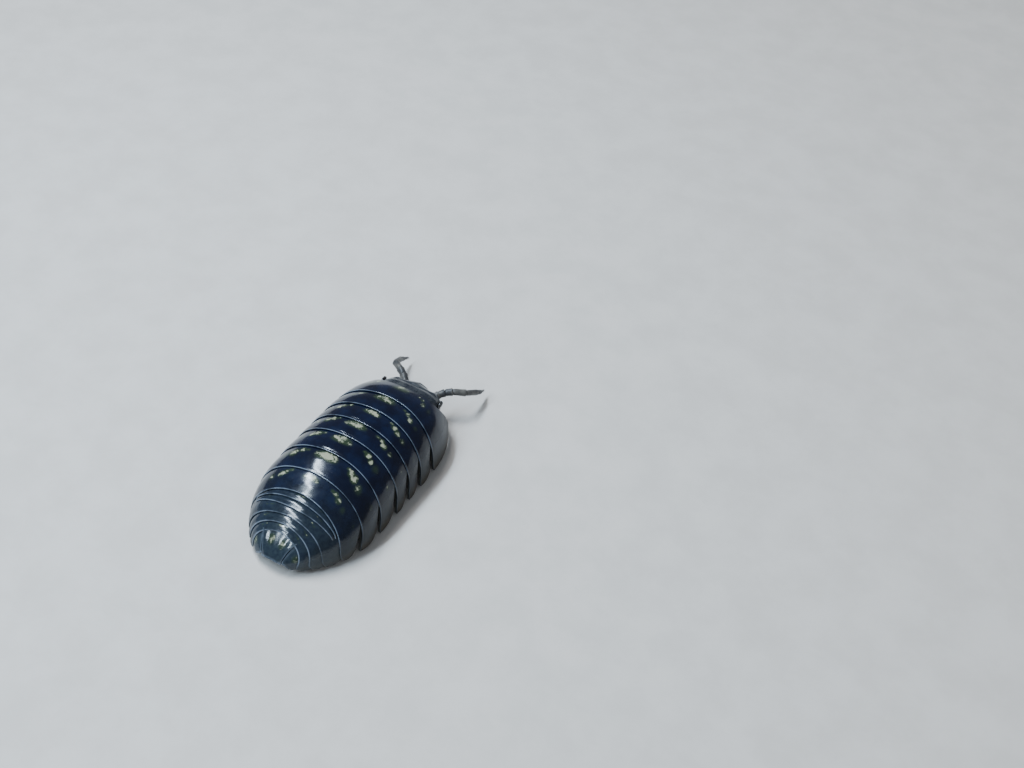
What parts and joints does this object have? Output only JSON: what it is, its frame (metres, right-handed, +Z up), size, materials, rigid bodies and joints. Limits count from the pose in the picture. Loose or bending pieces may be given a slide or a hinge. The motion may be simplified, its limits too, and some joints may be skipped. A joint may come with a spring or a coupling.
{
  "type": "woodlouse",
  "caption": "Still model of a common pill woodlouse at rest, with overlapping shell plates, elbowed antennae and legs tucked under the shell",
  "frame": {"origin": "bottom centre of the bounding box, on the floor the animal rests on", "axes": "+Z up; the head faces -Y and the tail +Y; the animal's left side is at +X"},
  "size_m": [0.008, 0.0196, 0.0042],
  "materials": {
    "shell": "glossy slate blue shell plate",
    "head": "satin dark head shell",
    "eye": "glossy black facets",
    "antenna": "satin dark grey shell",
    "leg": "satin pale grey shell",
    "gill_plate": "soft pale plates"
  },
  "bodies": {
    "root": {"head": "head", "mouthparts": "gill_plate", "eye_left": "eye", "eye_right": "eye", "antenna_left": "antenna", "antenna_right": "antenna", "pereonite_1": "shell", "pereonite_2": "shell", "pereonite_3": "shell", "pereonite_4": "shell", "pereonite_5": "shell", "pereonite_6": "shell", "pereonite_7": "shell", "pleonite_1": "shell", "pleonite_2": "shell", "pleonite_3": "shell", "pleonite_4": "shell", "pleonite_5": "shell", "telson": "shell", "uropod_left": "shell", "uropod_right": "shell", "leg_left_1": "leg", "leg_left_2": "leg", "leg_left_3": "leg", "leg_left_4": "leg", "leg_left_5": "leg", "leg_left_6": "leg", "leg_left_7": "leg", "leg_right_1": "leg", "leg_right_2": "leg", "leg_right_3": "leg", "leg_right_4": "leg", "leg_right_5": "leg", "leg_right_6": "leg", "leg_right_7": "leg", "pleopods": "gill_plate"}
  },
  "joints": []
}
